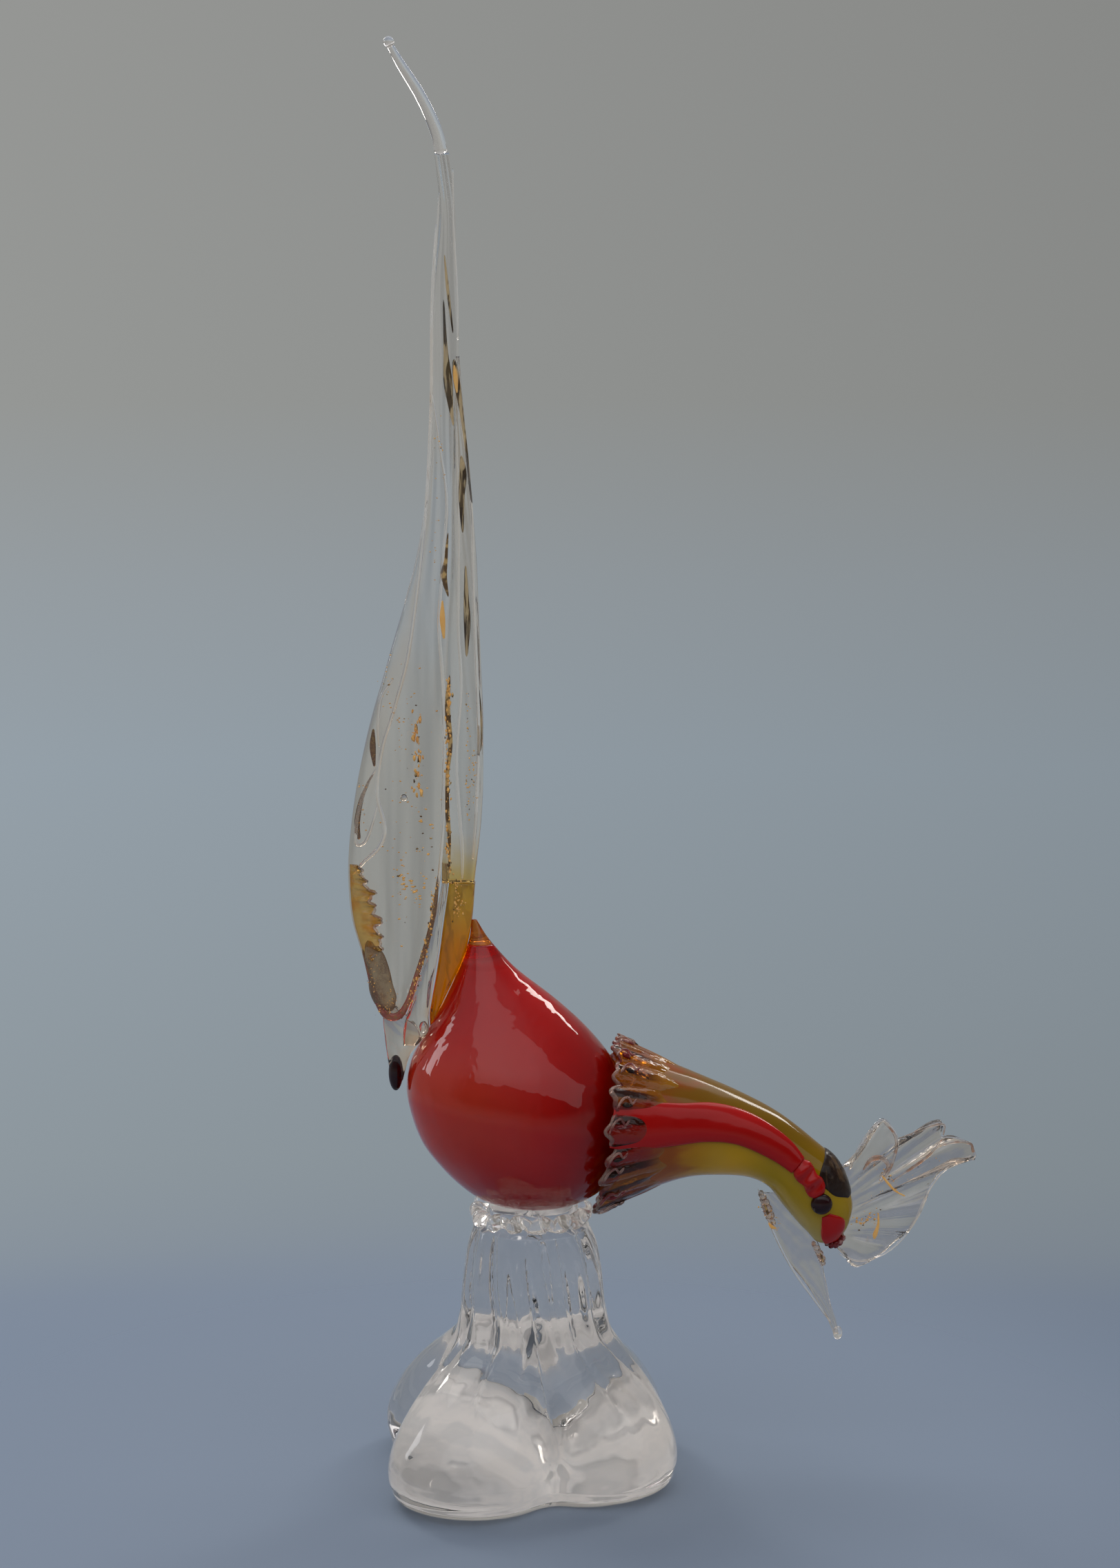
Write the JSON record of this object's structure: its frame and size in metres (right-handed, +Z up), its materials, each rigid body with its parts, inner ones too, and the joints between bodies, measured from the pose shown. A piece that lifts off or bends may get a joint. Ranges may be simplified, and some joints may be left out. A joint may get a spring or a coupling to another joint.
{
  "type": "glass bird figurine",
  "caption": "Static art-glass bird, head bowed as if drinking: red teardrop body, amber neck, clear crest, beak and tall tail plume, on a clear lobed foot.",
  "frame": {"origin": "middle of the foot's flat underside, on the ground", "axes": "+Z up; +X the way the bird faces; +Y the bird's left side"},
  "size_m": [0.174, 0.0883, 0.4008],
  "materials": {
    "clear_glass": "clear hot-worked glass with gold leaf, fire-polished",
    "ruby_glass": "transparent ruby casing, fire-polished",
    "opaque_red_glass": null,
    "amber_glass": "transparent amber glass",
    "olive_yellow_glass": "amber to olive-yellow cloudy glass",
    "maroon_black_glass": null,
    "dark_brown_glass": null
  },
  "bodies": {
    "root": {"foot_pedestal": "clear_glass", "foot_collar": "clear_glass", "body_casing": "ruby_glass", "body_core": "opaque_red_glass", "body_tip": "amber_glass", "neck_ruff": "amber_glass", "neck_core": "olive_yellow_glass", "neck_stripe_left": "opaque_red_glass", "neck_stripe_right": "opaque_red_glass", "brow_beads_left": "opaque_red_glass", "brow_beads_right": "opaque_red_glass", "crown_patch": "dark_brown_glass", "eye_left": "maroon_black_glass", "eye_right": "maroon_black_glass", "cheek_left": "opaque_red_glass", "cheek_right": "opaque_red_glass", "crest": "clear_glass", "beak": "clear_glass", "beak_curl_rear": "clear_glass", "beak_curl_front": "clear_glass", "head_lip": "clear_glass", "tail_root": "amber_glass", "tail_plume_rear": "clear_glass", "tail_plume_front": "clear_glass", "tail_lip": "clear_glass", "tail_knob": "maroon_black_glass", "tail_tip": "clear_glass"}
  },
  "joints": []
}
